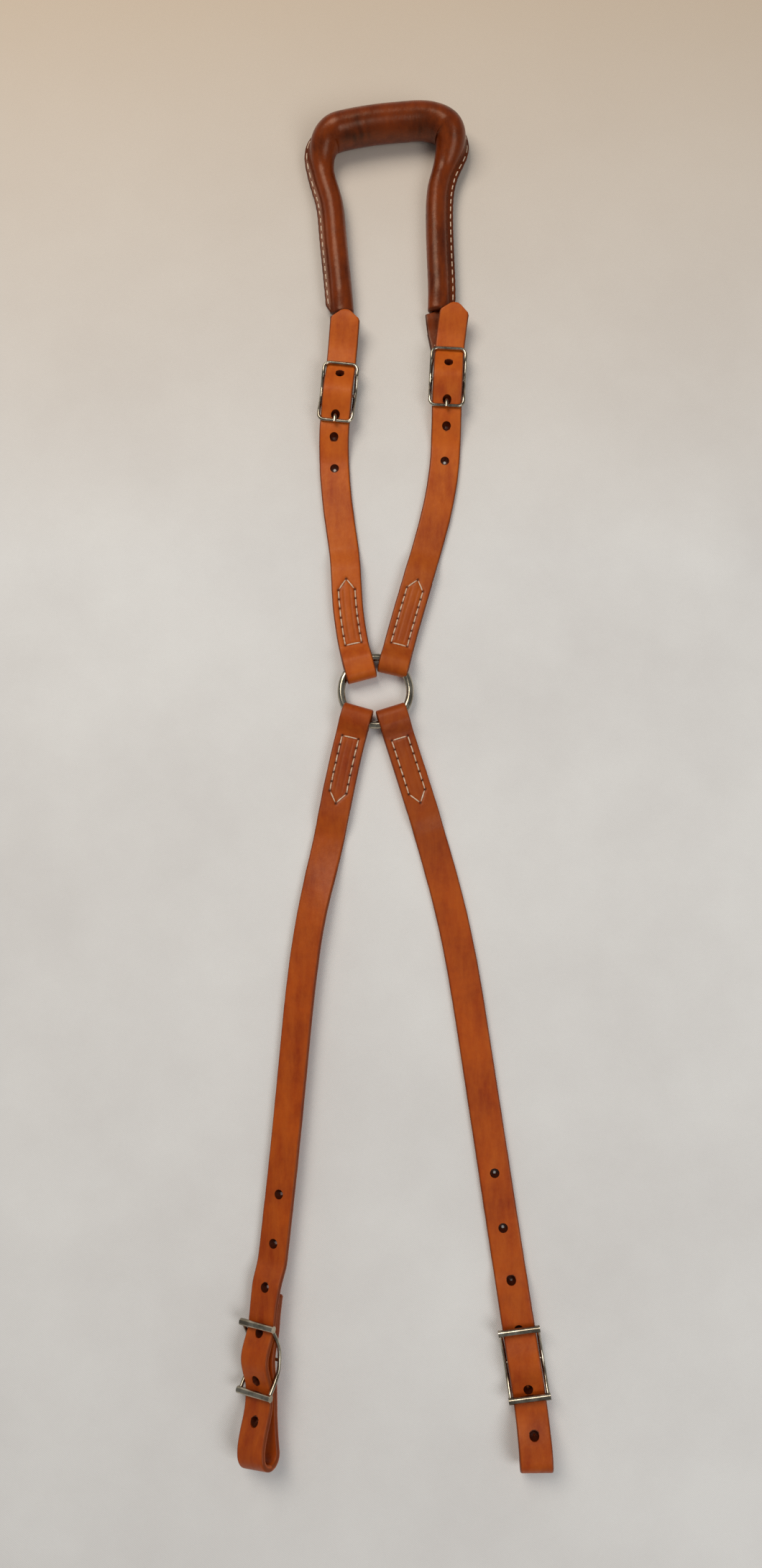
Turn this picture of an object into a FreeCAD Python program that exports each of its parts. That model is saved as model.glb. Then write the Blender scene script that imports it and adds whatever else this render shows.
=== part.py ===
import FreeCAD, Part
import math
import os

# A riding martingale lying flat: a rolled noseband, two buckled upper straps, one ring,
# and two long lower straps whose ends are turned back through Conway buckles.
# Row frame in millimetres: +Y from the ring to the noseband, +Z up, z = 0 is the surface it lies on.

V = FreeCAD.Vector
UP = V(0, 0, 1)
doc = FreeCAD.newDocument("Martingale")

# ---------------------------------------------------------------- driving dimensions
DIMENSIONS = {
    "ring_centre_x": -9.7,
    "ring_centre_y": 28.4,
    "ring_inner_diameter": 31.8,
    "ring_wire": 4.0,
    "strap_width": 15.9,
    "strap_thickness": 2.8,
    "layer_gap": 0.12,
    "hole_diameter": 4.7,
    "eye_inner_height": 4.6,
    "tail_length": 48.0,
    "buckle_width": 19.9,
    "buckle_length": 34.0,
    "buckle_wire": 1.8,
    "buckle_corner": 3.2,
    "frame_height": 8.7,
    "bar_wire": 1.7,
    "bar_height": 4.9,
    "chape_width": 14.6,
    "chape_thickness": 2.2,
    "chape_bore": 2.3,
    "tongue_wire": 1.8,
    "tongue_slot": 3.2,
    "conway_width": 20.0,
    "conway_bar": 3.3,
    "conway_span": 31.3,
    "conway_rail": 1.8,
    "conway_bar_height": 7.8,
    "stud_diameter": 3.2,
    "loop_inner_height": 8.0,
    "loop_reach": 49.3,
    "tube_diameter": 12.0,
    "tube_end_height": 9.5,
    "arch_height": 24.0,
    "arch_depth": 18.0,
    "cover_thickness": 2.2,
    "fin_reach": 3.2,
    "fin_thickness": 2.6,
    "stitch_pitch": 4.7,
    "stitch_length": 3.4,
    "thread_diameter": 0.9,
}
sheet = doc.addObject("Spreadsheet::Sheet", "Dimensions")
for row, (alias, value) in enumerate(DIMENSIONS.items(), start=1):
    sheet.set(f"A{row}", alias)
    sheet.set(f"B{row}", str(value))
    sheet.setAlias(f"B{row}", alias)
doc.recompute()


def dim(alias):
    """The value of one cell of the sheet, in millimetres."""
    return float(sheet.get(alias))


WIDTH = dim("strap_width")
THICK = dim("strap_thickness")
GAP = dim("layer_gap")
RING_R = (dim("ring_inner_diameter") + dim("ring_wire")) / 2
RING_Z = THICK + dim("eye_inner_height") / 2
RING = V(dim("ring_centre_x"), dim("ring_centre_y"), 0)
HALF_SPAN = dim("buckle_length") / 2 - dim("buckle_wire") / 2
HALF_CONWAY = dim("conway_span") / 2
FLOOR = 0.02
SKIVE = 0.02


# ---------------------------------------------------------------- routes and profiles
class Route:
    """A smooth plan curve through points given from the ring's centre, measured along its length."""

    def __init__(self, points):
        self.curve = Part.BSplineCurve()
        self.curve.interpolate([V(x, y, 0) + RING for x, y in points])
        self.length = self.curve.length()

    def station(self, x, y):
        """Distance along the route of its nearest point to (x, y), given from the ring's centre."""
        parameter = self.curve.parameter(V(x, y, 0) + RING)
        return self.curve.length(self.curve.FirstParameter, parameter)

    def at(self, distance):
        """Point and unit heading at a distance; past either end the route runs straight on."""
        inside = min(max(distance, 0.0), self.length)
        parameter = self.curve.parameterAtDistance(inside, self.curve.FirstParameter)
        point, heading = self.curve.getD1(parameter)
        heading.normalize()
        return point + heading * (distance - inside), heading


def eased(knots, at):
    """A height or angle that runs smoothly, level at each knot, between (distance, value) knots."""
    if at <= knots[0][0]:
        return knots[0][1]
    for (a, low), (b, high) in zip(knots, knots[1:]):
        if at <= b:
            u = (at - a) / (b - a)
            return low + (high - low) * u * u * (3 - 2 * u)
    return knots[-1][1]


def frame_at(route, distance, roll_knots=((0, 0),), offset=0.0):
    """Placement on a route: local Y along it, Z up (rolled about Y), at `offset` above its base line."""
    point, heading = route.at(distance)
    roll = eased(roll_knots, distance)
    turn = math.degrees(math.atan2(heading.y, heading.x)) - 90
    rotation = FreeCAD.Rotation(UP, turn).multiply(FreeCAD.Rotation(V(0, 1, 0), -roll))
    lift = dim("conway_width") / 2 * math.sin(math.radians(abs(roll)))
    base = V(point.x, point.y, lift + FLOOR)
    return FreeCAD.Placement(base + rotation.multVec(V(0, 0, offset)), rotation)


def hairpin(centre_along, centre_height, radius, first, last, count):
    """Points of a fold's arc in the side view, from angle `first` to angle `last` in degrees."""
    points = []
    for i in range(count + 1):
        angle = math.radians(first + (last - first) * i / count)
        points.append((centre_along + radius * math.cos(angle), centre_height + radius * math.sin(angle)))
    return points


def level_run(start, end, step, knots):
    """Points of a run in the side view whose height follows eased knots."""
    count = max(1, round(abs(end - start) / step))
    stations = [start + (end - start) * i / count for i in range(count + 1)]
    return [(s, eased(knots, s)) for s in stations]


def ribbon(route, side, width, thickness, roll_knots=((0, 0),)):
    """A leather strip: its centre line follows `side` (distance, height) above the plan route."""
    wires = []
    for i, (along, height) in enumerate(side):
        before = side[max(i - 1, 0)]
        after = side[min(i + 1, len(side) - 1)]
        run, rise = after[0] - before[0], after[1] - before[1]
        size = math.hypot(run, rise)
        normal = V(0, -rise / size, run / size)
        place = frame_at(route, along, roll_knots)
        half = width(along) / 2 if callable(width) else width / 2
        corners = []
        for across, out in ((-half, -1), (half, -1), (half, 1), (-half, 1)):
            local = V(across, 0, height) + normal * (out * thickness / 2)
            corners.append(place.multVec(local))
        wires.append(Part.makePolygon(corners + corners[:1]))
    return Part.makeLoft(wires, True, True)


def drill(shape, route, stations, side_height, depth, roll_knots=((0, 0),), first=0.0):
    """Cut one punched hole through the layer at each station; `side_height` gives the layer's height."""
    for along in stations:
        place = frame_at(route, along, roll_knots, side_height(along) - depth / 2 + first)
        punch = Part.makeCylinder(dim("hole_diameter") / 2, depth)
        punch.Placement = place
        shape = shape.cut(punch)
    return shape


def publish(name, shape):
    """Store a piece whose shape is computed here as a document object of its own."""
    piece = doc.addObject("Part::Feature", name)
    piece.Label = name
    piece.Shape = shape
    return piece


NODES = []


def keep(piece, name):
    """Mark an object as one sub-part of the assembly."""
    piece.Label = name
    NODES.append(piece)
    return piece


# ---------------------------------------------------------------- straps at the ring
EYE_RADIUS = (dim("eye_inner_height") + THICK) / 2
STITCH_INSET = 3.6
LAYER_LOW = THICK / 2
LAYER_HIGH = THICK * 1.5 + GAP


def ring_eye(reach):
    """Side view of a strap end folded round the ring: tail underneath, fold, then the top layer."""
    fold = -(reach - EYE_RADIUS - THICK / 2)
    tail = level_run(dim("tail_length"), fold + 0.4, 6.0, ((0, LAYER_LOW),))
    bend = hairpin(fold, RING_Z, EYE_RADIUS, 270, 90, 14)
    knots = ((0.4, RING_Z + EYE_RADIUS), (9.6, LAYER_HIGH))
    descent = level_run(0.4, 9.6, 1.15, knots)
    return tail + bend + descent


def clear_ring(shape):
    """Hollow the inside of an eye along the ring's own curve, so that the ring turns freely in it."""
    groove = Part.makeTorus(RING_R, dim("ring_wire") / 2 + 0.25)
    groove.Placement = FreeCAD.Placement(RING + V(0, 0, RING_Z + FLOOR), FreeCAD.Rotation())
    return shape.cut(groove)


def level_underside(shape):
    """Shave the lowest faces to one flat face on the surface that the strap lies on."""
    box = shape.BoundBox
    slab = Part.makeBox(box.XLength + 4, box.YLength + 4, 2, V(box.XMin - 2, box.YMin - 2, FLOOR - 2))
    return shape.cut(slab)


def stitch_box(name, route, start, shoulder, apex, height):
    """A long box of stitches with a pointed far end and one straight stitch across the ring end."""
    half = WIDTH / 2 - STITCH_INSET
    length, wide = dim("stitch_length"), dim("thread_diameter")
    lines = [((-half, start), (half, start)), ((-half, shoulder), (0, apex)), ((half, shoulder), (0, apex))]
    count = round((shoulder - start) / dim("stitch_pitch"))
    for side in (-half, half):
        for i in range(count):
            low = start + (shoulder - start) * i / count
            lines.append(((side, low), (side, low + (shoulder - start) / count)))
    stitches = []
    for (x0, y0), (x1, y1) in lines:
        span = math.hypot(x1 - x0, y1 - y0)
        covered = min(length, span * 0.74)
        stitch = Part.makeBox(covered, wide, wide / 2, V(-covered / 2, -wide / 2, 0))
        stitch.rotate(V(0, 0, 0), UP, math.degrees(math.atan2(y1 - y0, x1 - x0)))
        middle = frame_at(route, (y0 + y1) / 2, offset=height)
        stitch.Placement = middle.multiply(FreeCAD.Placement(V((x0 + x1) / 2, 0, 0), stitch.Placement.Rotation))
        stitches.append(stitch)
    return keep(publish(name, Part.makeCompound(stitches)), name)


# ---------------------------------------------------------------- upper straps
UPPER = {
    "left": {
        "route": [(-9.3, 15.3), (-12.5, 30), (-15.0, 50), (-16.2, 70), (-19.5, 95), (-22.0, 120),
                  (-22.3, 140), (-20.2, 162.5), (-18.4, 182), (-16.1, 207.6)],
        "reach": 10.0,
        "box": (10.2, 39.5, 45.5),
        "buckle": (-20.2, 162.5),
        "holes": (10.0, -12.6, -24.2, -40.5),
    },
    "right": {
        "route": [(9.9, 14.9), (13.2, 28), (21.4, 57), (26.4, 74.7), (31.8, 95), (34.9, 110),
                  (37.2, 128), (38.0, 150), (38.6, 171), (40.1, 190), (43.1, 211.6)],
        "reach": 6.4,
        "box": (10.2, 41.0, 46.5),
        "buckle": (38.6, 171.0),
        "holes": (7.0, -12.6, -26.2, -44.7),
    },
}
UNDER_BAR = dim("frame_height") - dim("buckle_wire") / 2 - 0.15 - THICK / 2
OVER_BAR = dim("bar_height") + dim("chape_bore") + dim("chape_thickness") + 1.2 + THICK / 2
TIP_HEIGHT = dim("tube_end_height") + 0.4 + THICK / 2


def upper_strap(side, spec):
    """Eye at the ring, flat run, hump over the buckle's centre bar, and the pointed tip."""
    route = Route(spec["route"])
    buckle = route.station(*spec["buckle"])
    knots = ((50.0, LAYER_HIGH), (64.0, LAYER_LOW), (buckle - HALF_SPAN - 22, LAYER_LOW),
             (buckle - HALF_SPAN, UNDER_BAR), (buckle, OVER_BAR), (buckle + HALF_SPAN, UNDER_BAR),
             (buckle + HALF_SPAN + 6, UNDER_BAR + 0.3), (route.length, TIP_HEIGHT))
    outline = ring_eye(spec["reach"])
    outline += level_run(13.0, 50.0, 6.2, ((0, LAYER_HIGH),))
    outline += level_run(51.5, route.length - 4.6, 2.0, knots)
    outline = [(along, height - SKIVE if height < LAYER_LOW + SKIVE else height) for along, height in outline]
    outline += [(route.length, TIP_HEIGHT)]

    def width(along):
        return WIDTH if along < route.length - 1 else 4.0

    shape = level_underside(clear_ring(ribbon(route, outline, width, THICK)))
    holes = [buckle + offset for offset in spec["holes"]]
    shape = drill(shape, route, holes, lambda at: eased(knots, at), THICK * 2.6)
    name = f"upper_{side}_strap"
    keep(publish(name, shape), name)
    stitch_box(f"upper_{side}_thread", route, *spec["box"], THICK * 2 + GAP + 0.01)
    return route, buckle


# ---------------------------------------------------------------- buckles
def rounded_path(corners, closed):
    """Edges of straight runs joined by tangent arcs; each corner is (point, radius)."""
    count = len(corners)
    joints = []
    for i, (point, radius) in enumerate(corners):
        if not closed and i in (0, count - 1):
            joints.append((point, None, point))
            continue
        back = (corners[i - 1][0] - point).normalize()
        ahead = (corners[(i + 1) % count][0] - point).normalize()
        half = back.getAngle(ahead) / 2
        reach = radius / math.tan(half)
        middle = (back + ahead).normalize() * (radius / math.sin(half) - radius)
        joints.append((point + back * reach, point + middle, point + ahead * reach))
    edges = []
    for i, (arrive, middle, leave) in enumerate(joints):
        if middle is not None:
            edges.append(Part.Arc(arrive, middle, leave).toShape())
        if closed or i < count - 1:
            edges.append(Part.makeLine(leave, joints[(i + 1) % count][0]))
    return edges


def swept_wire(name, corners, diameter_alias, closed):
    """A round wire bent along runs and arcs, as a native sweep bound to the sheet."""
    edges = rounded_path(corners, closed)
    spine = doc.addObject("Part::Feature", name + "_spine")
    spine.Shape = Part.Wire(edges)
    start = edges[0].valueAt(edges[0].FirstParameter)
    tangent = edges[0].tangentAt(edges[0].FirstParameter)
    section = doc.addObject("Part::Circle", name + "_section")
    section.setExpression("Radius", f"Dimensions.{diameter_alias} / 2")
    section.Placement = FreeCAD.Placement(start, FreeCAD.Rotation(UP, tangent))
    sweep = doc.addObject("Part::Sweep", name + "_wire")
    sweep.Sections = [section]
    sweep.Spine = (spine, [f"Edge{i}" for i in range(1, len(edges) + 1)])
    sweep.Solid = True
    sweep.Frenet = False
    return sweep


def bar(name, diameter, length, x, y, z):
    """A straight round bar across the strap; `diameter` and `length` are expressions on the sheet."""
    cylinder = doc.addObject("Part::Cylinder", name)
    cylinder.setExpression("Radius", f"({diameter}) / 2")
    cylinder.setExpression("Height", length)
    start = V(x - float(sheet.evalExpression(length)) / 2, y, z)
    cylinder.Placement = FreeCAD.Placement(start, FreeCAD.Rotation(V(0, 1, 0), 90))
    return cylinder


def buckle_outline():
    """Corners of the frame's wire: end bars high, side rails bowed down to the centre bar."""
    half_width = (dim("buckle_width") - dim("buckle_wire")) / 2
    corner = dim("buckle_corner")
    high, low = dim("frame_height"), dim("bar_height")
    dip = [(V(half_width, HALF_SPAN * 0.66, high), 9.0), (V(half_width, HALF_SPAN * 0.2, low), 9.0)]
    side = [(V(half_width, HALF_SPAN, high), corner)] + dip
    side += [(V(p.x, -p.y, p.z), r) for p, r in reversed(side)]
    return side + [(V(-p.x, p.y, p.z), r) for p, r in reversed(side)]


def tongue(side, place):
    """Wire tongue: an eye round the centre bar, a low run under the strap, a rise through the hole."""
    bar_z, wire = dim("bar_height"), dim("tongue_wire")
    over = dim("frame_height") + dim("buckle_wire") / 2 + wire / 2 + 0.06
    low = bar_z - 1.0
    path = [(V(0, -0.9, low), 0), (V(0, -10.6, low), 2.4), (V(0, -13.9, over), 2.0),
            (V(0, -HALF_SPAN - 1.6, over), 0)]
    shank = swept_wire(f"{side}_tongue_shank", path, "tongue_wire", False)
    eye = bar(f"{side}_tongue_eye", "Dimensions.bar_wire + 2.6", "Dimensions.tongue_wire + 0.3", 0, 0, bar_z)
    fuse = doc.addObject("Part::MultiFuse", f"{side}_tongue_whole")
    fuse.Shapes = [shank, eye]
    bore = bar(f"{side}_tongue_bore", "Dimensions.bar_wire + 0.24", "Dimensions.tongue_wire * 3", 0, 0, bar_z)
    cut = doc.addObject("Part::Cut", f"{side}_buckle_tongue")
    cut.Base, cut.Tool = fuse, bore
    cut.Placement = place
    return keep(cut, f"{side}_buckle_tongue")


def buckle(side, route, station):
    """Frame, centre bar and tongue of one upper buckle, set square to the strap."""
    place = frame_at(route, station)
    frame = swept_wire(f"{side}_frame", buckle_outline(), "buckle_wire", True)
    low = dim("bar_height")
    reach = "Dimensions.buckle_width - Dimensions.buckle_wire"
    seat = bar(f"{side}_bar_seat", "Dimensions.bar_wire", reach, 0, 0, low)
    whole = doc.addObject("Part::Cut", f"{side}_buckle_frame")
    whole.Base, whole.Tool = frame, seat
    whole.Placement = place
    keep(whole, f"{side}_buckle_frame")
    cross = bar(f"{side}_buckle_bar", "Dimensions.bar_wire", reach, 0, 0, low)
    cross.Placement = place.multiply(cross.Placement)
    keep(cross, f"{side}_buckle_bar")
    tongue(side, place)
    return place


# ---------------------------------------------------------------- chapes
CHAPE = {
    "left": [(-20.2, 162.5), (-18.9, 178), (-17.8, 198), (-17.6, 208), (-17.8, 217)],
    "right": [(38.6, 171.0), (38.4, 182), (35.6, 198), (34.0, 209.5), (33.7, 218.5)],
}
CHAPE_TAIL = 9.0


def chape(side):
    """Flat tab folded round the centre bar, its top layer narrowed to enter the tube's end."""
    route = Route(CHAPE[side])
    thick = dim("chape_thickness")
    radius = dim("chape_bore") + thick / 2
    low, high = thick / 2 + 0.02, thick * 1.5 + 0.14
    end, entry = route.length, route.length - CHAPE_TAIL
    knots = ((0.6, dim("bar_height") + radius), (11.5, high), (entry - 10, high),
             (entry - 2, dim("tube_end_height") / 2), (end, dim("tube_end_height") / 2))
    back = level_run(entry - 9, 9.0, 4.0, ((0, low),))
    back += level_run(8.0, 0.6, 1.2, ((0.6, dim("bar_height") - radius), (8.0, low)))
    bend = hairpin(0, dim("bar_height"), radius, 270, 90, 14)
    front = level_run(0.6, 11.5, 1.1, knots) + level_run(15.0, entry - 2, 2.6, knots)
    front += [(entry - 0.9, dim("tube_end_height") / 2), (end, dim("tube_end_height") / 2)]

    def width(along):
        return dim("chape_width") if along < entry - 1 else 5.0

    shape = ribbon(route, back + bend + front, width, thick)
    slot_size = dim("tongue_slot")
    slot = Part.makeBox(slot_size, 12.0, 14.0, V(-slot_size / 2, -7.5, -1))
    slot.Placement = frame_at(route, 0)
    name = f"{side}_chape"
    keep(publish(name, shape.cut(slot)), name)

    stitches = []
    for i in range(3):
        place = frame_at(route, 21.0, offset=thick * 2 + 0.16)
        stitch = Part.makeBox(3.0, 0.8, 0.12, V(-1.5 + (i - 1) * 4.2, -0.4, 0))
        stitch.Placement = place
        stitches.append(stitch)
    keep(publish(name + "_thread", Part.makeCompound(stitches)), name + "_thread")


# ---------------------------------------------------------------- noseband
NOSEBAND = Route([(-17.6, 208), (-19.6, 230), (-22.0, 254.4), (-24.4, 274.4), (-29.4, 295), (-26.8, 307),
                  (-15.2, 312.2), (-1.2, 314.9), (16.8, 316.8), (31.4, 316.4), (40.2, 310.5), (39.2, 298.4),
                  (34.8, 284), (33.2, 264.4), (33.9, 234.4), (34.0, 209.5)])
NOSE_LEFT = NOSEBAND.station(-28.0, 289)
NOSE_RIGHT = NOSEBAND.station(36.0, 289)
CORNER = 26.0


def nose_value(at, leg, arch, end):
    """A size along the noseband: `end` at both ends, `leg` on the cheeks, `arch` over the nose."""
    knots = ((0, end), (14, leg), (NOSE_LEFT, leg), (NOSE_LEFT + CORNER, arch),
             (NOSE_RIGHT - CORNER, arch), (NOSE_RIGHT, leg), (NOSEBAND.length - 14, leg), (NOSEBAND.length, end))
    return eased(knots, at)


def nose_section(at):
    """Placement and sizes of the section at a station: local X points outward, local Z up."""
    point, heading = NOSEBAND.at(at)
    outward = heading.cross(UP) * -1
    tall = nose_value(at, dim("tube_diameter"), dim("arch_height"), dim("tube_end_height"))
    deep = nose_value(at, dim("tube_diameter"), dim("arch_depth"), dim("tube_diameter"))
    tilt = math.radians(nose_value(at, 0, -40, 0))
    return point + V(0, 0, tall / 2 + 0.12), outward, deep / 2, tall / 2, tilt


def wall_at(angle, a, b):
    """Distance from the tube's centre to its wall in a direction, for half-axes a and b."""
    return 1.0 / math.hypot(math.cos(angle) / a, math.sin(angle) / b)


def tube_ring(at, shrink, first, last, count):
    """Points of the tube's oval at a station, inset by `shrink`, between two angles from outward."""
    centre, outward, a, b, tilt = nose_section(at)
    a, b = a - shrink, b - shrink
    points = []
    for i in range(count):
        angle = first + (last - first) * i / (count - 1)
        wall = wall_at(angle, a, b)
        points.append(centre + outward * (wall * math.cos(angle)) + UP * (wall * math.sin(angle)))
    return points


def fin_axes(at):
    """Root distance, direction and normal of the seam fin at a station."""
    centre, outward, a, b, tilt = nose_section(at)
    along = outward * math.cos(tilt) + UP * math.sin(tilt)
    across = outward * -math.sin(tilt) + UP * math.cos(tilt)
    return centre, wall_at(tilt, a, b), along, across, tilt


def cover_outline(at):
    """Closed outline of the rolled cover with its seam fin on the outer side."""
    centre, wall, along, across, tilt = fin_axes(at)
    half = dim("fin_thickness") / 2
    spread = math.asin(half / wall)
    points = tube_ring(at, 0, tilt + spread, tilt + 2 * math.pi - spread, 20)
    tip = wall + dim("fin_reach")
    points += [centre + along * tip - across * half, centre + along * tip + across * half]
    return Part.makePolygon(points + points[:1])


def bore_outline(at, shrink):
    """Closed outline inside the cover at a station."""
    points = tube_ring(at, shrink, 0, 2 * math.pi * 17 / 18, 18)
    return Part.makePolygon(points + points[:1])


def noseband():
    """Rolled cover with its seam fin, the cord core inside it, and the row of stitches."""
    count = 36
    stations = [NOSEBAND.length * i / count for i in range(count + 1)]
    wall = dim("cover_thickness")
    outer = Part.makeLoft([cover_outline(s) for s in stations], True, False)
    through = [-1.0] + stations[1:-1] + [NOSEBAND.length + 1.0]
    inner = Part.makeLoft([bore_outline(s, wall) for s in through], True, False)
    keep(publish("noseband_cover", outer.cut(inner)), "noseband_cover")

    ends = (11.0, NOSEBAND.length - 11.0)
    middle = [s for s in stations if ends[0] + 3 < s < ends[1] - 3]
    core = Part.makeLoft([bore_outline(s, wall + 0.2) for s in (ends[0], *middle, ends[1])], True, False)
    keep(publish("noseband_core", core), "noseband_core")

    stitches = []
    margin = 8.0
    total = round((NOSEBAND.length - 2 * margin) / dim("stitch_pitch"))
    for i in range(total + 1):
        at = margin + (NOSEBAND.length - 2 * margin) * i / total
        centre, root, along, across, tilt = fin_axes(at)
        seat = centre + along * (root + dim("fin_reach") * 0.55) + across * (dim("fin_thickness") / 2 + 0.7)
        stitch = Part.makeBox(2.8, 0.8, 0.4, V(-1.4, -0.4, 0))
        heading = NOSEBAND.at(at)[1]
        stitch.Placement = FreeCAD.Placement(seat, FreeCAD.Rotation(heading, along, across, "ZXY"))
        stitches.append(stitch)
    keep(publish("noseband_thread", Part.makeCompound(stitches)), "noseband_thread")


# ---------------------------------------------------------------- lower straps
LOWER = {
    "left": {
        "route": [(-10.4, -14.6), (-13.2, -25), (-17.5, -44), (-25.6, -85), (-32.4, -118.2), (-40.0, -182.5),
                  (-45.7, -245.2), (-49.3, -280), (-52.0, -309), (-53.1, -329), (-53.2, -350), (-51.3, -376.5)],
        "reach": 6.8,
        "box": (10.2, 39.5, 45.5),
        "conway": (-53.1, -329.0),
        "holes": (-76.0, -52.5, -32.5, -12.0, 9.6, 27.7),
        "roll": -34.0,
    },
    "right": {
        "route": [(9.5, -15.2), (13.2, -27), (19.5, -47), (30.6, -84), (39.5, -118.5), (50.5, -182.5),
                  (59.7, -245.2), (66.3, -290), (72.7, -332.4), (76.0, -356), (77.8, -378.6)],
        "reach": 7.2,
        "box": (10.2, 39.5, 45.5),
        "conway": (72.7, -332.4),
        "holes": (-89.7, -63.2, -38.6, -15.6, 11.8, 31.6),
        "roll": -4.0,
    },
}
TAIL_PAST_CONWAY = 30.0
STUD_TOP = 7.0
RAIL_BOW = 16.0
HUMP = STUD_TOP + 0.2 + THICK / 2
TAIL_HUMP = dim("conway_rail") + 0.3 + THICK / 2


def lower_strap(side, spec):
    """Eye at the ring, long run, hump in the Conway buckle, end loop and the tail turned back."""
    route = Route(spec["route"])
    conway = route.station(*spec["conway"])
    roll = ((55.0, 0.0), (110.0, spec["roll"] * 0.65), (conway - 45, spec["roll"] * 0.75),
            (conway - 19, spec["roll"]))
    loop_radius = (dim("loop_inner_height") + THICK) / 2
    end = conway + dim("loop_reach") - loop_radius - THICK / 2
    top = THICK / 2 + 2 * loop_radius
    knots = ((50.0, LAYER_HIGH), (64.0, LAYER_LOW), (conway - TAIL_PAST_CONWAY - 16, LAYER_LOW),
             (conway - TAIL_PAST_CONWAY - 2, LAYER_HIGH), (conway - HALF_CONWAY, LAYER_HIGH), (conway, HUMP),
             (conway + HALF_CONWAY, LAYER_HIGH), (conway + HALF_CONWAY + 3, LAYER_HIGH + 0.2), (end, top))
    tail_knots = ((conway - HALF_CONWAY + 2, LAYER_LOW), (conway, TAIL_HUMP),
                  (conway + HALF_CONWAY - 2, LAYER_LOW))
    outline = ring_eye(spec["reach"])
    outline += level_run(13.0, 50.0, 6.2, ((0, LAYER_HIGH),))
    outline += level_run(52.0, 64.0, 2.0, knots)
    outline += level_run(72.0, conway - TAIL_PAST_CONWAY - 17, 9.0, knots)
    outline += level_run(conway - TAIL_PAST_CONWAY - 15, end - 1.5, 2.0, knots)
    outline += hairpin(end, THICK / 2 + loop_radius, loop_radius, 90, -90, 16)
    outline += level_run(end - 1.5, conway - TAIL_PAST_CONWAY, 2.2, tail_knots)
    shape = clear_ring(ribbon(route, outline, WIDTH, THICK, roll))
    holes = [conway + offset for offset in spec["holes"]]
    shape = drill(shape, route, holes, lambda at: eased(knots, at), THICK * 1.7, roll, 0.9)
    shape = drill(shape, route, [conway], lambda at: eased(tail_knots, at), THICK * 1.5, roll)
    name = f"lower_{side}_strap"
    keep(publish(name, shape), name)
    stitch_box(f"lower_{side}_thread", route, *spec["box"], THICK * 2 + GAP + 0.01)
    conway_buckle(side, frame_at(route, conway, roll))
    return route, conway, roll


def conway_buckle(side, place):
    """Two thick end bars on bowed side rails, a low centre bar, and the stud it carries."""
    half_width = (dim("conway_width") - dim("conway_rail")) / 2
    high, low = dim("conway_bar_height"), dim("conway_rail") / 2 + 0.1
    pieces = []
    for end, y in (("upper", -HALF_CONWAY), ("lower", HALF_CONWAY)):
        name = f"{side}_conway_{end}"
        pieces.append(bar(name, "Dimensions.conway_bar", "Dimensions.conway_width + 0.4", 0, y, high))
    for hand, x in (("inner", -half_width), ("outer", half_width)):
        path = [(V(x, -HALF_CONWAY, high), 0), (V(x, -HALF_CONWAY * 0.38, low), RAIL_BOW),
                (V(x, HALF_CONWAY * 0.38, low), RAIL_BOW), (V(x, HALF_CONWAY, high), 0)]
        pieces.append(swept_wire(f"{side}_conway_{hand}", path, "conway_rail", False))
    middle = ("Dimensions.conway_rail - 0.2", "Dimensions.conway_width - 1.8", 0, 0, low)
    pieces.append(bar(f"{side}_conway_middle", *middle))
    frame = doc.addObject("Part::MultiFuse", f"{side}_conway_frame")
    frame.Shapes = pieces
    frame.Placement = place
    keep(frame, f"{side}_conway_frame")

    shaft = doc.addObject("Part::Cylinder", f"{side}_stud_shaft")
    shaft.setExpression("Radius", "Dimensions.stud_diameter / 2")
    shaft.Height = STUD_TOP - low - 0.5
    shaft.Placement = FreeCAD.Placement(V(0, 0, low + 0.5), FreeCAD.Rotation())
    seat = bar(f"{side}_stud_seat", *middle)
    stud = doc.addObject("Part::Cut", f"{side}_conway_stud")
    stud.Base, stud.Tool = shaft, seat
    stud.Placement = place
    keep(stud, f"{side}_conway_stud")


# ---------------------------------------------------------------- the ring
def centre_ring():
    """Plain round ring that the four eyes hang on."""
    ring = doc.addObject("Part::Torus", "centre_ring")
    ring.setExpression("Radius1", "(Dimensions.ring_inner_diameter + Dimensions.ring_wire) / 2")
    ring.setExpression("Radius2", "Dimensions.ring_wire / 2")
    ring.Placement = FreeCAD.Placement(RING + V(0, 0, RING_Z + FLOOR), FreeCAD.Rotation())
    keep(ring, "centre_ring")


def build():
    """Make every piece, check it, and write one STEP file for each."""
    facts = {}
    centre_ring()
    for side, spec in UPPER.items():
        route, station = upper_strap(side, spec)
        facts[f"{side}_buckle"] = buckle(side, route, station)
        chape(side)
    noseband()
    for side, spec in LOWER.items():
        route, station, roll = lower_strap(side, spec)
        facts[f"{side}_conway"] = frame_at(route, station, roll)
    doc.recompute()
    for item in doc.Objects:
        if "Invalid" in item.State or "Error" in item.State:
            raise RuntimeError(f"{item.Label} failed: {item.State}")
    os.makedirs("parts", exist_ok=True)
    for piece in NODES:
        shape = piece.Shape
        if shape.isNull() or not shape.isValid() or not shape.Solids:
            raise RuntimeError(f"{piece.Label} has no valid solid")
        shape.exportStep(f"parts/{piece.Label}.step")
        print(piece.Label, len(shape.Solids), "solids,", round(shape.Volume, 1), "mm3,", shape.BoundBox)
    for name, place in facts.items():
        print(name, place)
    return facts


FACTS = build()
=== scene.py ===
import math

import bpy
import numpy as np
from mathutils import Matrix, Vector, noise


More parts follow.
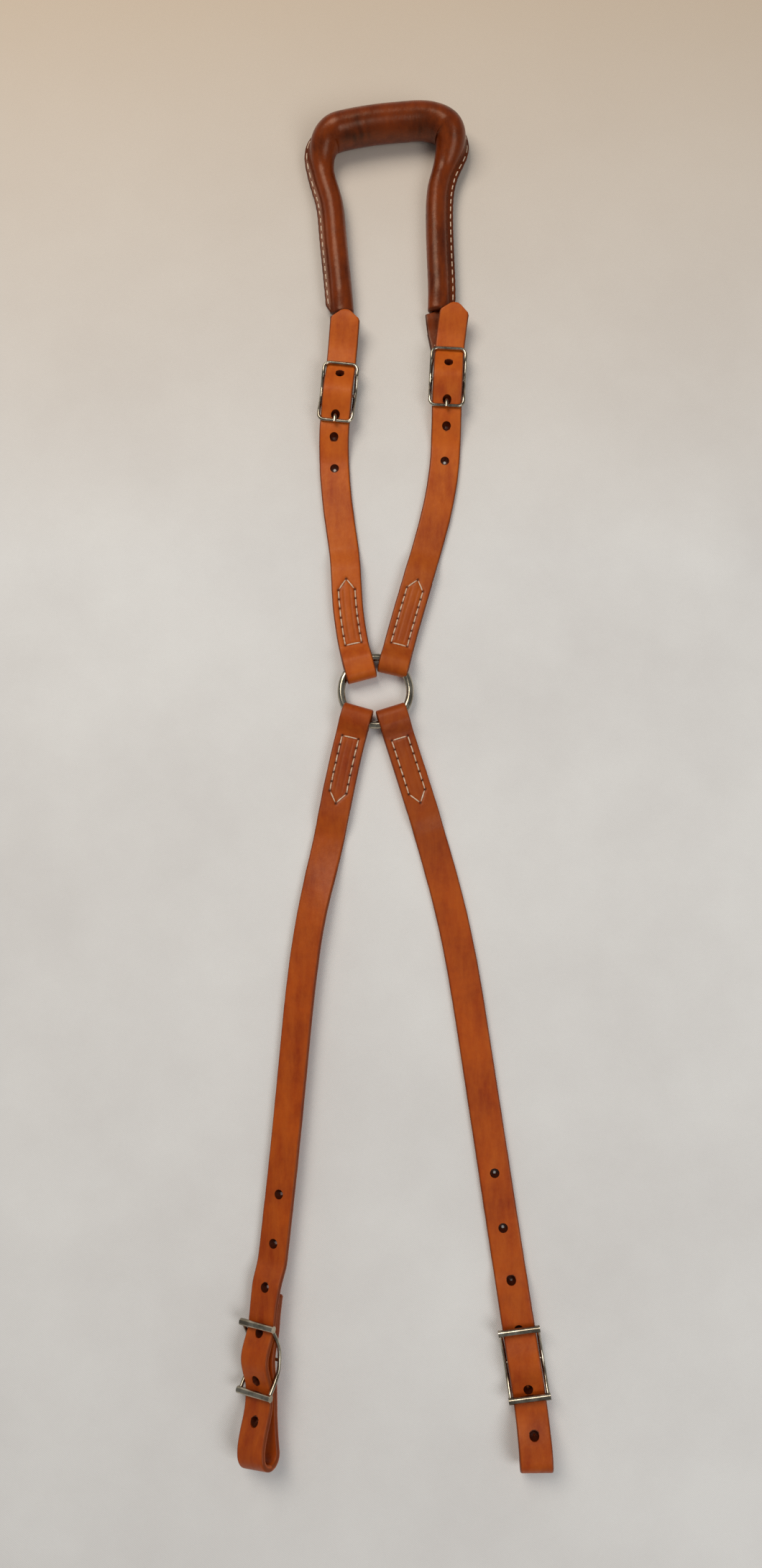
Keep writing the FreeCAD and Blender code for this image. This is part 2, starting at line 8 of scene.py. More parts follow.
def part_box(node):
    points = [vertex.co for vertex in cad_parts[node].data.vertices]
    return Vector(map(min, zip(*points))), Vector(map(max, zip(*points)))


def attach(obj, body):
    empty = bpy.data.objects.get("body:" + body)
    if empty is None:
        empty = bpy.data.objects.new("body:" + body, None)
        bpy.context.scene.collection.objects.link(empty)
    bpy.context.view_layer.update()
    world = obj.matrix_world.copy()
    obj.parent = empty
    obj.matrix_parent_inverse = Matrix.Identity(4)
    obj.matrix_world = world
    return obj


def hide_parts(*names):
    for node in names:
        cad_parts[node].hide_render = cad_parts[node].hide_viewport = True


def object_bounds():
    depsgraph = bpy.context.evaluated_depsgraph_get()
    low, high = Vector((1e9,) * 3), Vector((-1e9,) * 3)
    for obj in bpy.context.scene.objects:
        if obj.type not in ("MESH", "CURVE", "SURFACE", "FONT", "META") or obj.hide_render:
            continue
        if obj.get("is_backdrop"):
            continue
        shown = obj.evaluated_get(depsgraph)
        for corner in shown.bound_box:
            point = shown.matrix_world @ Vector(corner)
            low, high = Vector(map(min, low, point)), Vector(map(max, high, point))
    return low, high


# A riding martingale of narrow leather straps lying flat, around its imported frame.
# Helpers work in millimetres of the row frame, and every mesh is scaled to metres as it is made.

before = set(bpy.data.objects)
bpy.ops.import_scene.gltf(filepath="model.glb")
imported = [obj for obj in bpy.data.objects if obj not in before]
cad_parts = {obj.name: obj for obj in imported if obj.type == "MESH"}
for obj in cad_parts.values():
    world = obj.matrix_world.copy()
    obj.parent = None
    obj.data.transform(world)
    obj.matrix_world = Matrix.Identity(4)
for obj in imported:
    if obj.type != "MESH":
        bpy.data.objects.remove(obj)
CAD_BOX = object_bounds()
MM = 0.001
FLOOR = 0.02
UP = np.array((0.0, 0.0, 1.0))

STRAP_WIDTH, STRAP_THICK, LAYER_GAP = 15.9, 2.8, 0.12
HOLE_RADIUS = 2.35
EYE_HEIGHT, TAIL_LENGTH = 4.6, 48.0
BAR_HEIGHT, FRAME_HEIGHT, BUCKLE_WIRE = 4.9, 8.7, 1.8
HALF_SPAN, HALF_CONWAY, CONWAY_WIDTH = 16.1, 15.65, 20.0
CHAPE_WIDTH, CHAPE_THICK, CHAPE_BORE, CHAPE_TAIL = 14.6, 2.2, 2.3, 9.0
TUBE, TUBE_END, ARCH_HEIGHT, ARCH_DEPTH, COVER = 12.0, 9.5, 24.0, 18.0, 2.2
FIN_REACH, FIN_THICK = 3.2, 2.6
STITCH_PITCH, STITCH_INSET = 4.7, 3.6


def node_middle(name):
    """Middle of a CAD node's box, in millimetres."""
    low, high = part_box(name)
    return np.array((low + high) / 2) / MM


RING = node_middle("centre_ring")
RING_Z = STRAP_THICK + EYE_HEIGHT / 2
EYE_RADIUS = (EYE_HEIGHT + STRAP_THICK) / 2
LAYER_LOW = STRAP_THICK / 2
LAYER_HIGH = STRAP_THICK * 1.5 + LAYER_GAP


# ---------------------------------------------------------------- routes and profiles
class Route:
    """A smooth plan curve through points given from the ring's centre, measured along its length."""

    def __init__(self, points):
        at = np.array(points, float) + RING[:2]
        step = np.linalg.norm(np.diff(at, axis=0), axis=1)
        knots = np.concatenate(([0.0], np.cumsum(step)))
        slopes = self.slopes(at, knots, step)
        fine = []
        for i, size in enumerate(step):
            u = np.linspace(0, 1, max(8, int(size / 0.4)), endpoint=False)[:, None]
            fine.append((2 * u**3 - 3 * u**2 + 1) * at[i] + (u**3 - 2 * u**2 + u) * size * slopes[i]
                        + (3 * u**2 - 2 * u**3) * at[i + 1] + (u**3 - u**2) * size * slopes[i + 1])
        self.line = np.vstack(fine + [at[-1:]])
        self.along = np.concatenate(([0.0], np.cumsum(np.linalg.norm(np.diff(self.line, axis=0), axis=1))))
        self.length = self.along[-1]

    @staticmethod
    def slopes(at, knots, step):
        """Slopes of the cubic spline whose two end slopes come from the nearest four points."""
        count = len(at)
        matrix, right = np.zeros((count, count)), np.zeros((count, 2))
        for row, near in ((0, range(4)), (count - 1, range(count - 4, count))):
            matrix[row, row] = 1
            for j in near:
                others = [k for k in near if k != j]
                base = np.prod([knots[j] - knots[k] for k in others])
                parts = [np.prod([knots[row] - knots[k] for k in others if k != o]) for o in others]
                right[row] += sum(parts) / base * at[j]
        for i in range(1, count - 1):
            a, b = step[i - 1], step[i]
            matrix[i, i - 1:i + 2] = 1 / a, 2 / a + 2 / b, 1 / b
            right[i] = 3 * ((at[i] - at[i - 1]) / a**2 + (at[i + 1] - at[i]) / b**2)
        return np.linalg.solve(matrix, right)

    def station(self, x, y):
        """Distance along the route of its nearest point to (x, y), given from the ring's centre."""
        return self.along[np.argmin(np.linalg.norm(self.line - (np.array((x, y)) + RING[:2]), axis=1))]

    def at(self, distance):
        """Point and unit heading at a distance; past either end the route runs straight on."""
        inside = min(max(distance, 0.0), self.length)
        low, high = max(inside - 0.5, 0.0), min(inside + 0.5, self.length)
        point, before, after = (np.array([np.interp(s, self.along, self.line[:, k]) for k in (0, 1)])
                                for s in (inside, low, high))
        heading = (after - before) / np.linalg.norm(after - before)
        point = point + heading * (distance - inside)
        return np.append(point, 0.0), np.append(heading, 0.0)


def eased(knots, at):
    """A height or angle that runs smoothly, level at each knot, between (distance, value) knots."""
    if at <= knots[0][0]:
        return knots[0][1]
    for (a, low), (b, high) in zip(knots, knots[1:]):
        if at <= b:
            u = (at - a) / (b - a)
            return low + (high - low) * u * u * (3 - 2 * u)
    return knots[-1][1]


def smooth(value, low, high):
    """0 below `low`, 1 above `high`, and an even ease between them."""
    u = min(max((value - low) / (high - low), 0.0), 1.0)
    return u * u * (3 - 2 * u)


def bump(distance, width):
    """A bell of height 1 at distance 0."""
    return math.exp(-(distance / width) ** 2)


FLAT = ((0.0, 0.0),)


def axes_at(route, distance, roll_knots=FLAT):
    """Base point and the across, along and up directions of a route at a distance."""
    point, heading = route.at(distance)
    roll = math.radians(eased(roll_knots, distance))
    flat = np.array((heading[1], -heading[0], 0.0))
    across = flat * math.cos(roll) + UP * math.sin(roll)
    up = UP * math.cos(roll) - flat * math.sin(roll)
    lift = CONWAY_WIDTH / 2 * math.sin(abs(roll))
    return point + UP * (lift + FLOOR), across, heading, up


def hairpin(centre_along, centre_height, radius, first, last, count):
    """Points of a fold's arc in the side view, from angle `first` to angle `last` in degrees."""
    turns = [math.radians(first + (last - first) * i / count) for i in range(count + 1)]
    return [(centre_along + radius * math.cos(t), centre_height + radius * math.sin(t)) for t in turns]


def level_run(start, end, step, knots):
    """Points of a run in the side view whose height follows eased knots."""
    count = max(1, round(abs(end - start) / step))
    stations = [start + (end - start) * i / count for i in range(count + 1)]
    return [(s, eased(knots, s)) for s in stations]


def punched_run(start, end, step, knots, holes):
    """A level run whose points are closer together where it passes a punched hole."""
    way = 1 if end > start else -1
    at, places = start, []
    while (end - at) * way > 0.2:
        places.append(at)
        near_hole = any(abs(at - hole) < HOLE_RADIUS + 1.4 for hole in holes)
        at += way * (0.45 if near_hole else step)
    return [(place, eased(knots, place)) for place in places + [end]]


# ---------------------------------------------------------------- mesh makers
def make_mesh(name, rings, tones=None):
    """A closed skin of quads through rings of points; each end is closed by one face."""
    rings = np.asarray(rings, float)
    rows, count = rings.shape[:2]
    faces = []
    for i in range(rows - 1):
        for j in range(count):
            k = (j + 1) % count
            faces.append((i * count + j, i * count + k, (i + 1) * count + k, (i + 1) * count + j))
    faces.append(tuple(range(count - 1, -1, -1)))
    faces.append(tuple((rows - 1) * count + j for j in range(count)))
    mesh = bpy.data.meshes.new(name)
    mesh.from_pydata((rings.reshape(-1, 3) * MM).tolist(), [], faces)
    mesh.update()
    if signed_volume(mesh) < 0:
        mesh.flip_normals()
    mesh.shade_smooth()
    if tones is not None:
        set_tone(mesh, np.asarray(tones, float).reshape(-1))
    piece = bpy.data.objects.new(name, mesh)
    bpy.context.scene.collection.objects.link(piece)
    return piece


def signed_volume(mesh):
    """Volume of a closed mesh, negative where its faces look inward."""
    mesh.calc_loop_triangles()
    return sum(mesh.vertices[a].co.dot(mesh.vertices[b].co.cross(mesh.vertices[c].co))
               for a, b, c in (t.vertices for t in mesh.loop_triangles))


def set_tone(mesh, values):
    """Store how dark each vertex is, from dyed edges and painted shade, for the leather's shader."""
    layer = mesh.attributes.get("tone") or mesh.attributes.new("tone", "FLOAT", "POINT")
    layer.data.foreach_set("value", np.asarray(values, np.float32))


def get_tone(mesh):
    """The dye values stored on a mesh."""
    values = np.zeros(len(mesh.vertices), np.float32)
    layer = mesh.attributes.get("tone")
    if layer is not None and layer.domain == "POINT":
        layer.data.foreach_get("value", values)
    return values


def rounded_section(width, thick, top_count, corner):
    """Outline of a strap with rounded edges, as (across, out) pairs from the top's left edge."""
    half, rise = width / 2, thick / 2
    top = [(x, rise) for x in np.linspace(-half + corner, half - corner, top_count)]
    edge = []
    for i in range(1, 8):
        turn = math.pi / 2 - math.pi * i / 8
        swell = math.copysign(abs(math.sin(turn)) ** 0.75, math.sin(turn))
        edge.append((half - corner + corner * math.cos(turn), rise * swell))
    bottom = [(-x, -rise) for x in np.linspace(-half + corner, half - corner, 9)]
    return top + edge + bottom + [(-x, -y) for x, y in edge]


def ribbon(name, route, side, width, thick, roll_knots=FLAT, relief=None, tone=None, top_count=35):
    """A leather strip that follows `side` (distance, height) above the plan route, with soft edges."""
    rings, tones = [], []
    last = len(side) - 1
    path = 0.0
    for i, (along, height) in enumerate(side):
        before, after = side[max(i - 1, 0)], side[min(i + 1, last)]
        run, rise = after[0] - before[0], after[1] - before[1]
        size = math.hypot(run, rise)
        base, across, heading, up = axes_at(route, along, roll_knots)
        normal = (up * run - heading * rise) / size
        wide = width(along) if callable(width) else width
        end = min(path_left(side, i, 1), path_left(side, i, -1))
        squeeze = 1 - 0.38 * (1 - smooth(end, 0.0, 0.9))
        facing = 1 if run > 0 else -1
        ring, tint = [], []
        for x, out in rounded_section(wide - (1 - squeeze) * 1.4, thick * squeeze, top_count, 0.95):
            wave = noise.noise(Vector((along * 0.09, path * 0.02 + x * 0.05, wide)))
            edge = smooth(abs(x), wide / 2 - 1.6, wide / 2)
            drop = relief(along, x) if relief and out > 0 and facing > 0 else 0.0
            reach = x + math.copysign(edge * 0.16 * wave, x)
            ring.append(base + up * height + across * reach + normal * (out + drop + 0.07 * wave * (out > 0)))
            tint.append(tone(along, x, out, edge, facing) if tone else edge)
        rings.append(ring)
        tones.append(tint)
        path += size / 2
    return make_mesh(name, rings, tones)


def path_left(side, index, way):
    """Length of the side view's path from a point to one of its two ends, as far as 3 mm."""
    total, i = 0.0, index
    while 0 <= i + way < len(side) and total < 3.0:
        total += math.dist(side[i], side[i + way])
        i += way
    return total


def cutter(centre, axis, radius, low, high, stretch=None):
    """A round punch along `axis` that narrows toward `low`, or a straight slot where stretched."""
    turn = Vector(axis).to_track_quat("Z", "Y").to_matrix()
    rings = []
    levels = ((low, radius), (high, radius))
    if stretch is None:
        foot = radius * 0.3
        levels = ((low, foot), (-STRAP_THICK / 2, foot), (STRAP_THICK * 0.3, radius), (high, radius * 1.02))
    for level, size in levels:
        ring = []
        for i in range(28):
            angle = 2 * math.pi * i / 28
            local = Vector((size * math.cos(angle), size * math.sin(angle), level))
            point = np.array(turn @ local) + centre
            if stretch is not None:
                point = point + stretch * (1 if np.dot(point - centre, stretch) > 0 else -1)
            ring.append(point)
        rings.append(ring)
    return make_mesh("punch", rings)


def punch(piece, cutters):
    """Cut the punches out of a piece, and take them away."""
    for tool in cutters:
        modifier = piece.modifiers.new("punch", "BOOLEAN")
        modifier.operation, modifier.solver, modifier.object = "DIFFERENCE", "EXACT", tool
    graph = bpy.context.evaluated_depsgraph_get()
    mesh = bpy.data.meshes.new_from_object(piece.evaluated_get(graph))
    piece.modifiers.clear()
    old, piece.data = piece.data, mesh
    bpy.data.meshes.remove(old)
    for tool in cutters:
        bpy.data.objects.remove(tool)
    mesh.shade_smooth()


def sharpen(piece, angle=38):
    """Keep creases sharper than an angle crisp while the rest shades smooth."""
    piece.data.set_sharp_from_angle(angle=math.radians(angle))


def paint_shade_in_holes(piece, holes):
    """Paint shade on the walls of each punched hole (centre, axis) with the darkest tone, and leave its rim
    clean.
    """
    mesh = piece.data
    values = get_tone(mesh)
    below_rim, above_foot = 1.1, -1.9
    at = np.zeros(len(mesh.vertices) * 3, np.float32)
    mesh.vertices.foreach_get("co", at)
    at = at.reshape(-1, 3) / MM
    for centre, axis in holes:
        offset = at - centre
        level = offset @ axis
        away = np.linalg.norm(offset - level[:, None] * axis, axis=1)
        wall = (away < HOLE_RADIUS + 0.12) & (level < below_rim) & (level > above_foot)
        # Painted shade: the hole's wall gets the darkest tone.
        values[wall] = 1.5
    set_tone(mesh, values)


def threads(name, stitches, radius):
    """Every stitch (start, end, up) as a short thread that dips into the leather at both ends."""
    points, faces = [], []
    sides, spans = 8, 9
    for start, end, up in stitches:
        ahead = end - start
        length = np.linalg.norm(ahead)
        ahead = ahead / length
        left = np.cross(up, ahead)
        slack = noise.noise(Vector(start) * 0.9)
        base = len(points)
        for i in range(spans):
            u = i / (spans - 1)
            arch = 1 - abs(2 * u - 1) ** 3.2
            middle = start + ahead * (length * u) + up * (arch * (0.55 + 0.12 * slack) - 0.35)
            middle = middle + left * (0.35 * slack * (u - 0.5))
            thick = radius * (0.72 + 0.28 * arch + 0.1 * math.sin(9 * u + 7 * slack))
            for j in range(sides):
                turn = 2 * math.pi * j / sides + u * 2.2
                around = left * (thick * math.cos(turn)) + up * (thick * 0.8 * math.sin(turn))
                points.append((middle + around) * MM)
        for i in range(spans - 1):
            for j in range(sides):
                k = (j + 1) % sides
                a = base + i * sides
                faces.append((a + j, a + k, a + sides + k, a + sides + j))
        faces.append(tuple(base + j for j in range(sides - 1, -1, -1)))
        faces.append(tuple(base + (spans - 1) * sides + j for j in range(sides)))
    mesh = bpy.data.meshes.new(name)
    mesh.from_pydata([tuple(p) for p in points], [], faces)
    if signed_volume(mesh) < 0:
        mesh.flip_normals()
    mesh.shade_smooth()
    piece = bpy.data.objects.new(name, mesh)
    bpy.context.scene.collection.objects.link(piece)
    return piece


# ---------------------------------------------------------------- materials
class Shader:
    """A Principled material with short helpers for its procedural nodes."""

    def __init__(self, name):
        self.material = bpy.data.materials.new(name)
        self.material.use_nodes = True
        self.nodes, self.links = self.material.node_tree.nodes, self.material.node_tree.links
        self.surface = self.nodes["Principled BSDF"]
        self.where = self.nodes.new("ShaderNodeTexCoord").outputs["Object"]

    def node(self, kind, inputs=(), **settings):
        """A shader node with its inputs linked to a socket or set to a value."""
        made = self.nodes.new("ShaderNode" + kind)
        for key, value in settings.items():
            setattr(made, key, value)
        for key, value in dict(inputs).items():
            if isinstance(value, bpy.types.NodeSocket):
                self.links.new(value, made.inputs[key])
            else:
                made.inputs[key].default_value = value
        return made

    def noise(self, scale, detail=4.0, roughness=0.6, stretch=None):
        """Fractal noise whose scale is in waves per metre."""
        where = self.where
        if stretch:
            where = self.node("Mapping", {"Vector": where, "Scale": stretch}).outputs[0]
        return self.node("TexNoise", {"Vector": where, "Scale": scale, "Detail": detail,
                                      "Roughness": roughness}).outputs["Fac"]

    def cells(self, scale):
        """Pebble grain: how far a point is from the edge of its cell."""
        made = self.node("TexVoronoi", {"Vector": self.where, "Scale": scale}, feature="DISTANCE_TO_EDGE")
        return made.outputs["Distance"]

    def spread(self, value, low, high, to_low=0.0, to_high=1.0):
        """A value stretched from one range to another, and held there."""
        return self.node("MapRange", {"Value": value, "From Min": low, "From Max": high,
                                      "To Min": to_low, "To Max": to_high}).outputs["Result"]

    def mix(self, amount, first, second):
        """The first colour at amount 0, and the second at 1."""
        made = self.nodes.new("ShaderNodeMix")
        made.data_type = "RGBA"
        for index, value in ((0, amount), (6, first), (7, second)):
            if isinstance(value, bpy.types.NodeSocket):
                self.links.new(value, made.inputs[index])
            else:
                made.inputs[index].default_value = value
        return made.outputs[2]

    def math(self, operation, first, second):
        """A Math node's result."""
        return self.node("Math", {0: first, 1: second}, operation=operation).outputs[0]

    def bumps(self, layers):
        """Stack heights (value, strength, distance in metres) into one normal."""
        normal = None
        for height, strength, distance in layers:
            inputs = {"Height": height, "Strength": strength, "Distance": distance}
            if normal is not None:
                inputs["Normal"] = normal
            normal = self.node("Bump", inputs).outputs["Normal"]
        self.links.new(normal, self.surface.inputs["Normal"])

    def set(self, **values):
        """Set or link the Principled inputs, named with underscores for spaces."""
        for key, value in values.items():
            socket = self.surface.inputs[key.replace("_", " ")]
            if isinstance(value, bpy.types.NodeSocket):
                self.links.new(value, socket)
            else:
                socket.default_value = value


def srgb(red, green, blue):
    """Linear colour of a display colour given from 0 to 255."""
    return tuple(c / 12.92 if c <= 0.04045 else ((c + 0.055) / 1.055) ** 2.4
                 for c in (red / 255, green / 255, blue / 255)) + (1.0,)


def leather(name, body, light, deep, dye_and_shade, gloss=0.45):
    """Oiled leather: mottled body colour, pebble grain, dyed edges, painted shade from the tone attribute and
    a soft waxed surface.
    """
    shader = Shader(name)
    tone = shader.node("Attribute", attribute_name="tone").outputs["Fac"]
    cloud = shader.spread(shader.noise(34, 6, 0.66), 0.38, 0.6)
    fine = shader.spread(shader.noise(420, 6, 0.7), 0.3, 0.72)
    fibre = shader.spread(shader.noise(160, 4, 0.66, (1.0, 0.22, 1.0)), 0.32, 0.7)
    colour = shader.mix(cloud, deep, body)
    colour = shader.mix(shader.math("MULTIPLY", fibre, 0.55), colour, light)
    colour = shader.mix(shader.math("MULTIPLY", fine, 0.22), colour, deep)
    # The tone attribute mixes in this dark colour: dyed edges and seam fin, the arch's darker patches, and
    # painted shade in holes, stitch marks, tube mouths and near the ring.
    colour = shader.mix(shader.spread(tone, 0.0, 1.0), colour, dye_and_shade)
    colour = shader.mix(shader.spread(tone, 0.0, -1.0), colour, FLESH)
    grain = shader.spread(shader.cells(1500), 0.0, 0.3)
    rough = shader.spread(fine, 0.0, 1.0, gloss - 0.05, gloss + 0.12)
    shader.set(Base_Color=colour, Roughness=rough, Specular_IOR_Level=0.34,
               Specular_Tint=(1.0, 0.7, 0.48, 1.0), Coat_Weight=0.06, Coat_Roughness=0.22)
    shader.bumps([(grain, 0.22, 0.00006), (fine, 0.25, 0.00012), (cloud, 0.2, 0.0006)])
    return shader.material


def nickel():
    """Plated steel wire: faintly warm, with hazy darker patches and fine scuffs."""
    shader = Shader("nickel_plate")
    scuff = shader.spread(shader.noise(900, 5, 0.7, (1.0, 0.3, 1.0)), 0.35, 0.75)
    haze = shader.spread(shader.noise(170, 4, 0.6), 0.4, 0.6)
    colour = shader.mix(haze, srgb(190, 181, 162), srgb(138, 129, 112))
    shader.set(Base_Color=colour, Metallic=1.0, Roughness=shader.spread(scuff, 0.0, 1.0, 0.11, 0.24))
    shader.bumps([(scuff, 0.12, 0.00004)])
    return shader.material


def thread_material():
    """Waxed cream thread with a visible twist."""
    shader = Shader("waxed_thread")
    twist = shader.node("TexWave", {"Vector": shader.where, "Scale": 420.0, "Distortion": 2.0,
                                    "Detail": 2.0}, bands_direction="DIAGONAL").outputs["Fac"]
    fleck = shader.spread(shader.noise(500, 3, 0.6), 0.3, 0.7)
    colour = shader.mix(fleck, srgb(233, 213, 190), srgb(206, 172, 138))
    colour = shader.mix(shader.math("MULTIPLY", twist, 0.25), colour, srgb(176, 132, 98))
    shader.set(Base_Color=colour, Roughness=0.62, Specular_IOR_Level=0.35)
    shader.bumps([(twist, 0.5, 0.00012)])
    return shader.material


def cord_material():
    """Undyed cotton cord, the filling of the rolled noseband."""
    shader = Shader("core_cotton")
    fleck = shader.spread(shader.noise(700, 5, 0.7), 0.3, 0.7)
    shader.set(Base_Color=shader.mix(fleck, srgb(196, 182, 156), srgb(160, 144, 118)), Roughness=0.85)
    shader.bumps([(fleck, 0.5, 0.0002)])
    return shader.material


def canvas_material():
    """Pale canvas under the object, with a fine slanting weave, and painted warm light past the noseband's
    end.
    """
    shader = Shader("pale_canvas")
    bias = shader.node("Mapping", {"Vector": shader.where, "Rotation": (0, 0, math.radians(38))}).outputs[0]
    warp = shader.node("TexWave", {"Vector": bias, "Scale": 400.0, "Distortion": 0.6, "Detail": 2.0},
                       bands_direction="X").outputs["Fac"]
    weft = shader.node("TexWave", {"Vector": bias, "Scale": 400.0, "Distortion": 0.6, "Detail": 2.0},
                       bands_direction="Y").outputs["Fac"]
    weave = shader.math("MULTIPLY", warp, weft)
    slub = shader.spread(shader.noise(7, 6, 0.62), 0.36, 0.64)
    colour = shader.mix(slub, srgb(222, 219, 215), srgb(232, 230, 226))
    # Painted light: the floor colour turns warm toward +Y, standing in for warm light falling from that side.
    painted_warm_light_y = shader.node("SeparateXYZ", {"Vector": shader.where}).outputs["Y"]
    colour = shader.mix(shader.spread(painted_warm_light_y, 0.1, 0.45), colour, srgb(207, 188, 165))
    colour = shader.mix(shader.math("MULTIPLY", weave, 0.22), colour, srgb(230, 228, 224))
    shader.set(Base_Color=colour, Roughness=0.93, Specular_IOR_Level=0.12)
    shader.bumps([(weave, 0.35, 0.0002)])
    return shader.material


FLESH = srgb(190, 122, 86)
TAN = leather("tan_strap", srgb(188, 84, 14), srgb(212, 112, 32), srgb(158, 58, 9), srgb(78, 26, 8))
BROWN = leather("brown_strap", srgb(172, 70, 10), srgb(196, 98, 26), srgb(140, 47, 7), srgb(62, 19, 6))
DARK = leather("dark_rolled", srgb(112, 42, 8), srgb(152, 66, 16), srgb(72, 22, 5), srgb(36, 11, 5), 0.27)
NICKEL = nickel()
THREAD = thread_material()
CORD = cord_material()


def finish_piece(piece, material, body, slot, *nodes):
    """Give a piece its material and its CAD body, and hide the CAD nodes that it stands for; the slot
    argument is not used.
    """
    piece.data.materials.clear()
    piece.data.materials.append(material)
    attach(piece, body)
    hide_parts(*nodes)
    return piece


# ---------------------------------------------------------------- straps
def ring_eye(reach):
    """Side view of a strap end folded round the ring: tail underneath, fold, then the top layer."""
    fold = -(reach - EYE_RADIUS - STRAP_THICK / 2)
    tail = level_run(TAIL_LENGTH, fold + 0.4, 3.0, ((0, LAYER_LOW),))
    tail[1:1] = level_run(TAIL_LENGTH - 0.3, TAIL_LENGTH - 1.2, 0.3, ((0, LAYER_LOW),))
    bend = hairpin(fold, RING_Z, EYE_RADIUS, 270, 90, 18)
    return tail + bend + level_run(0.4, 9.0, 0.8, ((0.4, RING_Z + EYE_RADIUS), (9.6, LAYER_HIGH)))


def box_lines(start, shoulder, apex):
    """The stitch box as runs ((across, along), (across, along)), one for each stitch."""
    half = STRAP_WIDTH / 2 - STITCH_INSET
    runs = [((-half, start), (half, start)), ((-half, shoulder), (0, apex)), ((half, shoulder), (0, apex))]
    count = round((shoulder - start) / STITCH_PITCH)
    step = (shoulder - start) / count
    for side in (-half, half):
        runs += [((side, start + step * i), (side, start + step * (i + 1))) for i in range(count)]
    return runs


def from_run(x, y, run):
    """Distance of a point from a straight run between two points."""
    (x0, y0), (x1, y1) = run
    dx, dy = x1 - x0, y1 - y0
    u = min(max(((x - x0) * dx + (y - y0) * dy) / (dx * dx + dy * dy), 0), 1)
    return math.hypot(x - x0 - dx * u, y - y0 - dy * u)


def stitched_relief(box):
    """Height and painted shade that a stitch box adds to the top layer: grooves, needle holes and creases."""
    start, shoulder, apex = box
    runs = box_lines(*box)
    ends = [p for run in runs for p in run]

    def near(along):
        return start - 4 < along < apex + 4

    def relief(along, x):
        if not near(along):
            return 0.0
        groove = bump(min(from_run(x, along, run) for run in runs), 0.8)
        needle = bump(min(math.dist((x, along), p) for p in ends), 0.6)
        inside = smooth(along, start, start + 3) * (1 - smooth(along, shoulder - 1, apex))
        crease = bump(abs(x) - 1.7, 0.55) * inside * (0.7 + 0.3 * noise.noise(Vector((along * 0.2, x, 3))))
        return -0.42 * groove - 0.35 * needle - 0.22 * crease

    # Painted shade: grooves, needle holes and creases are darkened, and the middle of the box a little.
    def tone(along, x):
        if not near(along):
            return 0.0
        groove = bump(min(from_run(x, along, run) for run in runs), 0.85)
        needle = bump(min(math.dist((x, along), p) for p in ends), 0.62)
        inside = smooth(along, start, start + 3) * (1 - smooth(along, shoulder - 1, apex))
        crease = bump(abs(x) - 1.7, 0.7) * inside
        return min(1.1, 0.3 * groove + 1.2 * needle + 0.16 * crease + 0.1 * inside * (abs(x) < 5))

    return relief, tone


def box_threads(name, route, box):
    """The threads of one stitch box, lying in its grooves."""
    stitches = []
    for (x0, y0), (x1, y1) in box_lines(*box):
        ends = []
        for x, y in ((x0, y0), (x1, y1)):
            base, across, heading, up = axes_at(route, y)
            ends.append(base + across * x + up * (LAYER_HIGH + STRAP_THICK / 2 - 0.32))
        gap = (ends[1] - ends[0]) * 0.09
        stitches.append((ends[0] + gap, ends[1] - gap, up))
    return threads(name, stitches, 0.36)


UPPER = {
    "left": {
        "route": [(-9.3, 15.3), (-12.5, 30), (-15.0, 50), (-16.2, 70), (-19.5, 95), (-22.0, 120),
                  (-22.3, 140), (-20.2, 162.5), (-18.4, 182), (-16.1, 207.6)],
        "reach": 10.0,
        "box": (10.2, 39.5, 45.5),
        "buckle": (-20.2, 162.5),
        "holes": (10.0, -12.6, -24.2, -40.5),
        "ring_shade": 0.04,
    },
    "right": {
        "route": [(9.9, 14.9), (13.2, 28), (21.4, 57), (26.4, 74.7), (31.8, 95), (34.9, 110),
                  (37.2, 128), (38.0, 150), (38.6, 171), (40.1, 190), (43.1, 211.6)],
        "reach": 6.4,
        "box": (10.2, 41.0, 46.5),
        "buckle": (38.6, 171.0),
        "holes": (7.0, -12.6, -26.2, -44.7),
        "ring_shade": 0.3,
    },
}
UNDER_BAR = FRAME_HEIGHT - BUCKLE_WIRE / 2 - 0.15 - STRAP_THICK / 2
OVER_BAR = BAR_HEIGHT + CHAPE_BORE + CHAPE_THICK + 1.2 + STRAP_THICK / 2
TIP_HEIGHT = TUBE_END + 0.4 + STRAP_THICK / 2
TIP_LENGTH, TIP_WIDTH = 4.6, 4.0


def strap_tone(stitch_shade, edge_dye, ring_shade):
    """Colour on a strap: dyed dark edges, a pale flesh side, painted shade near the ring, and painted shade
    in the stitch marks.
    """
    def tone(along, x, out, edge, facing):
        side = edge_dye * smooth(abs(x), STRAP_WIDTH / 2 - 1.0, STRAP_WIDTH / 2 - 0.1)
        if facing * out < 0:
            return side - 0.6
        mark = stitch_shade(along, x) if facing > 0 and out > 0 else 0.0
        # ring_shade is painted shade, darkest at the ring and gone 130 mm along.
        return max(side, mark, ring_shade * (1 - smooth(along, 30, 130)))
    return tone


def hole_place(route, along, knots, roll_knots=FLAT):
    """Centre of the layer at a hole, and the direction the hole was punched in."""
    base, across, heading, up = axes_at(route, along, roll_knots)
    return base + up * eased(knots, along), up


